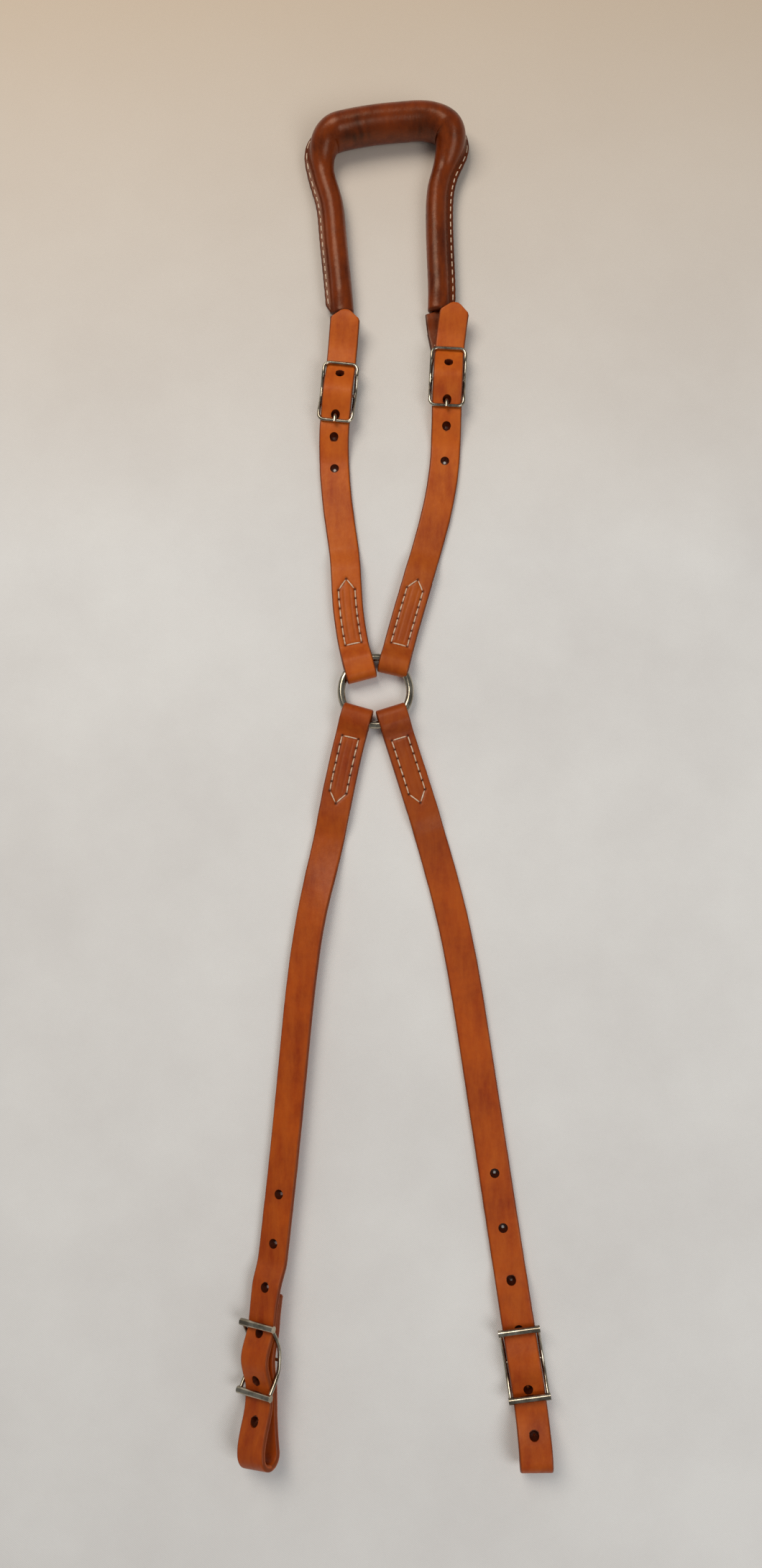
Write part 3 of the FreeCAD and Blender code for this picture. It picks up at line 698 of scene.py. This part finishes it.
def upper_strap(side, spec):
    """Eye at the ring, flat run, hump over the buckle's centre bar, and the pointed tip."""
    route = Route(spec["route"])
    buckle = route.station(*spec["buckle"])
    knots = ((50.0, LAYER_HIGH), (64.0, LAYER_LOW), (buckle - HALF_SPAN - 22, LAYER_LOW),
             (buckle - HALF_SPAN, UNDER_BAR), (buckle, OVER_BAR), (buckle + HALF_SPAN, UNDER_BAR),
             (buckle + HALF_SPAN + 6, UNDER_BAR + 0.3), (route.length, TIP_HEIGHT))
    outline = ring_eye(spec["reach"]) + level_run(9.7, 50.0, 0.6, ((0, LAYER_HIGH),))
    punched = [buckle + offset for offset in spec["holes"]]
    outline += punched_run(51.0, route.length - 1.2, 1.3, knots, punched)
    outline += level_run(route.length - 0.9, route.length, 0.3, knots)

    def width(along):
        return min(STRAP_WIDTH, TIP_WIDTH + (STRAP_WIDTH - TIP_WIDTH) * (route.length - along) / TIP_LENGTH)

    relief, stitch_shade = stitched_relief(spec["box"])
    name = f"upper_{side}"
    tone = strap_tone(stitch_shade, 0.85, spec["ring_shade"])
    piece = ribbon(name + "_leather", route, outline, width, STRAP_THICK, FLAT, relief, tone)
    holes = [hole_place(route, along, knots) for along in punched]
    punch(piece, [cutter(centre, up, HOLE_RADIUS, -3.6, 3.6) for centre, up in holes])
    # Painted shade inside the punched holes.
    paint_shade_in_holes(piece, holes)
    sharpen(piece)
    finish_piece(piece, TAN, "upper_loop", "tan_leather", name + "_strap")
    stitches = box_threads(name + "_stitches", route, spec["box"])
    finish_piece(stitches, THREAD, "upper_loop", "thread", name + "_thread")


LOWER = {
    "left": {
        "route": [(-10.4, -14.6), (-13.2, -25), (-17.5, -44), (-25.6, -85), (-32.4, -118.2),
                  (-40.0, -182.5), (-45.7, -245.2), (-49.3, -280), (-52.0, -309), (-53.1, -329),
                  (-53.2, -350), (-51.3, -376.5)],
        "reach": 6.8,
        "box": (10.2, 39.5, 45.5),
        "conway": (-53.1, -329.0),
        "holes": (-76.0, -52.5, -32.5, -12.0, 9.6, 27.7),
        "roll": -34.0,
        "ring_shade": 0.16,
    },
    "right": {
        "route": [(9.5, -15.2), (13.2, -27), (19.5, -47), (30.6, -84), (39.5, -118.5), (50.5, -182.5),
                  (59.7, -245.2), (66.3, -290), (72.7, -332.4), (76.0, -356), (77.8, -378.6)],
        "reach": 7.2,
        "box": (10.2, 39.5, 45.5),
        "conway": (72.7, -332.4),
        "holes": (-89.7, -63.2, -38.6, -15.6, 11.8, 31.6),
        "roll": -4.0,
        "ring_shade": 0.3,
    },
}
LOOP_HEIGHT, LOOP_REACH, TAIL_PAST_CONWAY = 8.0, 49.3, 30.0
CONWAY_RAIL, STUD_TOP = 1.8, 7.0
HUMP = STUD_TOP + 0.2 + STRAP_THICK / 2
TAIL_HUMP = CONWAY_RAIL + 0.3 + STRAP_THICK / 2


def lower_strap(side, spec):
    """Eye at the ring, long run, hump in the Conway buckle, end loop and the tail turned back."""
    route = Route(spec["route"])
    conway = route.station(*spec["conway"])
    roll = ((55.0, 0.0), (110.0, spec["roll"] * 0.65), (conway - 45, spec["roll"] * 0.75),
            (conway - 19, spec["roll"]))
    radius = (LOOP_HEIGHT + STRAP_THICK) / 2
    end = conway + LOOP_REACH - radius - STRAP_THICK / 2
    knots = ((50.0, LAYER_HIGH), (64.0, LAYER_LOW), (conway - TAIL_PAST_CONWAY - 16, LAYER_LOW),
             (conway - TAIL_PAST_CONWAY - 2, LAYER_HIGH), (conway - HALF_CONWAY, LAYER_HIGH), (conway, HUMP),
             (conway + HALF_CONWAY, LAYER_HIGH), (conway + HALF_CONWAY + 3, LAYER_HIGH + 0.2),
             (end, STRAP_THICK / 2 + 2 * radius))
    tail_knots = ((conway - HALF_CONWAY + 2, LAYER_LOW), (conway, TAIL_HUMP),
                  (conway + HALF_CONWAY - 2, LAYER_LOW))
    tail_end = conway - TAIL_PAST_CONWAY
    outline = ring_eye(spec["reach"]) + level_run(9.7, 50.0, 0.6, ((0, LAYER_HIGH),))
    punched = [conway + offset for offset in spec["holes"]]
    outline += punched_run(51.0, end - 1.5, 1.5, knots, punched)
    outline += hairpin(end, STRAP_THICK / 2 + radius, radius, 90, -90, 28)
    outline += punched_run(end - 1.5, tail_end + 1.2, 1.5, tail_knots, [conway])
    outline += level_run(tail_end + 0.9, tail_end, 0.3, tail_knots)
    relief, stitch_shade = stitched_relief(spec["box"])
    name = f"lower_{side}"
    tone = strap_tone(stitch_shade, 0.6, spec["ring_shade"])
    piece = ribbon(name + "_leather", route, outline, STRAP_WIDTH, STRAP_THICK, roll, relief, tone)
    holes = [hole_place(route, along, knots, roll) for along in punched]
    tail_hole = hole_place(route, conway, tail_knots, roll)
    tools = [cutter(centre, up, HOLE_RADIUS, -1.55, 3.2) for centre, up in holes]
    punch(piece, tools + [cutter(*tail_hole, HOLE_RADIUS, -2.2, 2.2)])
    # Painted shade inside the punched holes.
    paint_shade_in_holes(piece, holes + [tail_hole])
    sharpen(piece)
    finish_piece(piece, BROWN, name, "brown_leather", name + "_strap")
    stitches = box_threads(name + "_stitches", route, spec["box"])
    finish_piece(stitches, THREAD, name, "thread", name + "_thread")


# ---------------------------------------------------------------- chapes
CHAPE = {
    "left": [(-20.2, 162.5), (-18.9, 178), (-17.8, 198), (-17.6, 208), (-17.8, 217)],
    "right": [(38.6, 171.0), (38.4, 182), (35.6, 198), (34.0, 209.5), (33.7, 218.5)],
}
CHAPE_TAIL_WIDTH = 5.0


def chape(side):
    """Flat tab folded round the centre bar, its top layer narrowed to enter the tube's end."""
    route = Route(CHAPE[side])
    radius = CHAPE_BORE + CHAPE_THICK / 2
    low, high = CHAPE_THICK / 2 + 0.02, CHAPE_THICK * 1.5 + 0.14
    end, entry = route.length, route.length - CHAPE_TAIL
    knots = ((0.6, BAR_HEIGHT + radius), (11.5, high), (entry - 10, high),
             (entry - 2, TUBE_END / 2), (end, TUBE_END / 2))
    outline = level_run(entry - 9, entry - 10.2, 0.3, ((0, low),))
    outline += level_run(entry - 11, 9.0, 2.0, ((0, low),))
    outline += level_run(8.0, 0.6, 0.9, ((0.6, BAR_HEIGHT - radius), (8.0, low)))
    outline += hairpin(0, BAR_HEIGHT, radius, 270, 90, 18)
    outline += level_run(0.6, 11.5, 0.9, knots) + level_run(12.5, entry - 2, 1.0, knots)
    outline += level_run(entry - 1.6, end, 0.8, knots)

    def width(along):
        return CHAPE_WIDTH - (CHAPE_WIDTH - CHAPE_TAIL_WIDTH) * smooth(along, entry - 0.9, entry + 0.4)

    piece = ribbon(f"{side}_chape_leather", route, outline, width, CHAPE_THICK, top_count=17,
                   tone=lambda along, x, out, edge, facing: 0.8 * edge)
    base, across, heading, up = axes_at(route, 0.0)
    slot = cutter(base + heading * -1.5 + up * 5, up, 1.6, -7, 7, heading * 4.4)
    punch(piece, [slot])
    sharpen(piece)
    finish_piece(piece, DARK, "noseband", "dark_leather", f"{side}_chape")
    base, across, heading, up = axes_at(route, 21.0)
    seat = base + up * (CHAPE_THICK * 2 - 0.1)
    rows = [(seat + across * (4.2 * i - 1.5), seat + across * (4.2 * i + 1.5), up) for i in (-1, 0, 1)]
    stitches = threads(f"{side}_chape_stitches", rows, 0.4)
    finish_piece(stitches, THREAD, "noseband", "thread", f"{side}_chape_thread")


# ---------------------------------------------------------------- noseband
NOSEBAND = Route([(-17.6, 208), (-19.6, 230), (-22.0, 254.4), (-24.4, 274.4), (-29.4, 295), (-26.8, 307),
                  (-15.2, 312.2), (-1.2, 314.9), (16.8, 316.8), (31.4, 316.4), (40.2, 310.5), (39.2, 298.4),
                  (34.8, 284), (33.2, 264.4), (33.9, 234.4), (34.0, 209.5)])
NOSE_LEFT = NOSEBAND.station(-28.0, 289)
NOSE_RIGHT = NOSEBAND.station(36.0, 289)
CORNER, FLARE = 26.0, 14.0
# Stations of two darker patches on the arch's inner face.
DARK_PATCHES = (NOSEBAND.station(-9.0, 313.4), NOSEBAND.station(25.6, 316.7))
BODY_POINTS = 44
END_ROUND, END_SHRINK, CORD_START = 1.8, 3.1, 11.0


def nose_value(at, leg, arch, end):
    """A size along the noseband: `end` at both ends, `leg` on the cheeks, `arch` over the nose."""
    last = NOSEBAND.length
    knots = ((0, end), (FLARE, leg), (NOSE_LEFT, leg), (NOSE_LEFT + CORNER, arch),
             (NOSE_RIGHT - CORNER, arch), (NOSE_RIGHT, leg), (last - FLARE, leg), (last, end))
    return eased(knots, at)


def nose_section(at):
    """Centre, outward direction, half-axes and fin tilt of the tube's section at a station."""
    point, heading = NOSEBAND.at(at)
    outward = np.cross(UP, heading)
    tall = nose_value(at, TUBE, ARCH_HEIGHT, TUBE_END)
    deep = nose_value(at, TUBE, ARCH_DEPTH, TUBE)
    tilt = math.radians(nose_value(at, 0, -40, 0))
    return point + UP * (tall / 2 + 0.12), outward, deep / 2, tall / 2, tilt


def wall_at(angle, a, b):
    """Distance from the tube's centre to its wall in a direction, for half-axes a and b."""
    return 1.0 / math.hypot(math.cos(angle) / a, math.sin(angle) / b)


def fin_axes(outward, tilt):
    """Directions along the fin and across its thickness."""
    along = outward * math.cos(tilt) + UP * math.sin(tilt)
    across = outward * -math.sin(tilt) + UP * math.cos(tilt)
    return along, across


def root_spread(wall):
    """Half the angle that the fin's flared root takes of the tube's wall."""
    return math.asin(min(FIN_THICK / 2 * 1.75 / wall, 0.9))


def fin_profile():
    """Right half of the fin's outline as (share of its reach, share of its half thickness)."""
    return ((-0.16, 1.5), (0.08, 1.12), (0.3, 0.98), (0.52, 0.8), (0.72, 0.92), (0.88, 0.78), (0.98, 0.42))


def cover_ring(at):
    """Outline of the rolled cover at a station, with its seam fin, creases, tone and two darker patches on
    the arch.
    """
    centre, outward, a, b, tilt = nose_section(at)
    along, across = fin_axes(outward, tilt)
    wall = wall_at(tilt, a, b)
    half = FIN_THICK / 2
    phase = math.cos(2 * math.pi * at / STITCH_PITCH)
    from_end = min(at, NOSEBAND.length - at)
    pull = (1 - 0.02 * phase) * (0.25 + 0.75 * smooth(from_end, 1.0, 7.0))
    points, tones = [], []
    spread = root_spread(wall)
    for angle in np.linspace(tilt + spread, tilt + 2 * math.pi - spread, BODY_POINTS):
        away = wall_at(angle, a, b)
        direction = outward * math.cos(angle) + UP * math.sin(angle)
        wave = noise.noise(Vector((at * 0.06, math.cos(angle) * 1.2, math.sin(angle) * 1.2)))
        ripple = noise.noise(Vector((at * 0.35, math.cos(angle) * 2.0, 7.0)))
        points.append(centre + direction * (away - 0.12 + 0.1 * wave + 0.05 * ripple))
        inner_face = bump(math.sin(angle) - 0.45, 0.6) * (math.cos(angle) < 0)
        # Two darker patches on the inner face of the arch.
        dark_patch = max(bump(at - mark, 9.0) for mark in DARK_PATCHES) * inner_face
        tones.append(max(0.0, 0.25 * wave, 1.2 * dark_patch * (0.6 + 0.8 * wave + 0.5 * ripple)))
    profile = fin_profile()
    for share, thick in profile:
        points.append(centre + along * (wall + FIN_REACH * share * pull) - across * (half * thick))
        tones.append(0.4 + 0.3 * smooth(share, 0.75, 1.0))
    for share, thick in reversed(profile):
        points.append(centre + along * (wall + FIN_REACH * share * pull) + across * (half * thick))
        tones.append(0.4 + 0.3 * smooth(share, 0.75, 1.0))
    return points, tones


def bore_ring(at, shrink, count):
    """The tube's oval at a station, inset by `shrink`, with as many points as the cover's outline."""
    centre, outward, a, b, tilt = nose_section(at)
    spread = root_spread(wall_at(tilt, a, b))
    points = []
    body = np.linspace(tilt + spread, tilt + 2 * math.pi - spread, BODY_POINTS)
    seam = np.linspace(tilt - spread, tilt + spread, count - BODY_POINTS + 2)[1:-1]
    for angle in np.concatenate((body, seam)):
        away = wall_at(angle, a - shrink, b - shrink)
        points.append(centre + outward * (away * math.cos(angle)) + UP * (away * math.sin(angle)))
    return points


def noseband():
    """Rolled cover with its seam fin, the stitches along it, and the twisted cord inside it."""
    last = NOSEBAND.length
    stations = np.linspace(END_ROUND, last - END_ROUND, 300)
    outer = [cover_ring(s) for s in stations]
    count = len(outer[0][0])
    closing = [(10.0, COVER), (2.4, COVER), (1.9, END_SHRINK), (0.5, END_SHRINK), (0.0, 2.0), (0.1, 1.2),
               (0.45, 0.6), (1.0, 0.2)]
    rings = [bore_ring(depth, shrink, count) for depth, shrink in closing]
    rings += [points for points, tones in outer]
    rings += [bore_ring(last - depth, shrink, count) for depth, shrink in reversed(closing)]
    # Painted shade: the inside of each tube mouth takes a dark tone; its rounded lip takes a lighter one.
    inside = [[0.9] * count] * 4 + [[0.45] * count] * (len(closing) - 4)
    cover = make_mesh("noseband_leather", rings, inside + [tones for points, tones in outer] + inside[::-1])
    sharpen(cover, 60)
    finish_piece(cover, DARK, "noseband", "dark_leather", "noseband_cover")

    margin, half_stitch = 8.0, 0.36
    total = round((NOSEBAND.length - 2 * margin) / STITCH_PITCH)
    pitch = (NOSEBAND.length - 2 * margin) / total
    rows = []
    for i in range(total + 1):
        ends = []
        for at in (margin + pitch * (i - half_stitch), margin + pitch * (i + half_stitch)):
            centre, outward, a, b, tilt = nose_section(at)
            along, across = fin_axes(outward, tilt)
            reach = wall_at(tilt, a, b) + FIN_REACH * 0.52
            ends.append(centre + along * reach + across * (FIN_THICK / 2 * 0.8 + 0.05))
        rows.append((ends[0], ends[1], across))
    stitches = threads("noseband_stitches", rows, 0.32)
    finish_piece(stitches, THREAD, "noseband", "thread", "noseband_thread")

    strands = []
    for s in np.linspace(CORD_START, NOSEBAND.length - CORD_START, 220):
        centre, outward, a, b, tilt = nose_section(s)
        ring = []
        for i in range(30):
            angle = 2 * math.pi * i / 30
            lobe = 0.9 + 0.1 * abs(math.cos(1.5 * (angle - s * 0.12)))
            away = wall_at(angle, a - COVER - 0.4, b - COVER - 0.4) * lobe
            ring.append(centre + outward * (away * math.cos(angle)) + UP * (away * math.sin(angle)))
        strands.append(ring)
    core = make_mesh("noseband_cord", strands)
    finish_piece(core, CORD, "noseband", "core_cord", "noseband_core")


# ---------------------------------------------------------------- stage
def aim(thing, place, target):
    """Put a light in place, looking at a target."""
    thing.location = Vector(place)
    thing.rotation_euler = (Vector(target) - Vector(place)).to_track_quat("-Z", "Y").to_euler()


def area_light(name, place, target, width, height, power, colour):
    """A soft rectangular light."""
    data = bpy.data.lights.new(name, "AREA")
    data.shape, data.size, data.size_y = "RECTANGLE", width, height
    data.energy, data.color = power, colour
    lamp = bpy.data.objects.new(name, data)
    bpy.context.scene.collection.objects.link(lamp)
    aim(lamp, place, target)


def stage():
    """Pale floor, soft light from above, and the camera looking down from over the middle."""
    mesh = bpy.data.meshes.new("floor")
    wide, deep = 1.6, 2.2
    corners = [(-wide, -deep, 0), (wide, -deep, 0), (wide, deep, 0), (-wide, deep, 0)]
    mesh.from_pydata(corners, [], [(0, 1, 2, 3)])
    floor = bpy.data.objects.new("floor", mesh)
    bpy.context.scene.collection.objects.link(floor)
    mesh.materials.append(canvas_material())
    floor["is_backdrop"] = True

    area_light("window", (-0.55, 0.75, 1.25), (0, 0, 0), 0.9, 0.9, 14, (1.0, 0.93, 0.85))
    area_light("fill", (0.8, -0.7, 1.3), (0, -0.05, 0), 0.9, 0.9, 9, (0.96, 0.98, 1.0))
    world = bpy.data.worlds.new("soft_room")
    world.use_nodes = True
    world.node_tree.nodes["Background"].inputs["Color"].default_value = (0.9, 0.92, 0.95, 1)
    world.node_tree.nodes["Background"].inputs["Strength"].default_value = 0.22
    scene = bpy.context.scene
    scene.world = world
    scene.view_settings.view_transform = "Standard"

    data = bpy.data.cameras.new("view")
    data.sensor_fit, data.sensor_height, data.lens = "VERTICAL", 36.0, 27.57
    camera = bpy.data.objects.new("view", data)
    scene.collection.objects.link(camera)
    camera.location = (-0.0069, -0.0992, 0.620)
    camera.rotation_euler = (math.radians(7.3), 0, 0)
    scene.camera = camera


stage()
for hand, spec in UPPER.items():
    upper_strap(hand, spec)
    chape(hand)
for hand, spec in LOWER.items():
    lower_strap(hand, spec)
noseband()
HARDWARE = ["centre_ring"]
for hand in ("left", "right"):
    HARDWARE += [f"{hand}_buckle_frame", f"{hand}_buckle_bar", f"{hand}_buckle_tongue",
                 f"{hand}_conway_frame", f"{hand}_conway_stud"]
for name in HARDWARE:
    for material_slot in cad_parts[name].material_slots:
        material_slot.material = NICKEL

boxes = {"cad": CAD_BOX, "visual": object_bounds()}
{key: [list(corner) for corner in value] for key, value in boxes.items()}
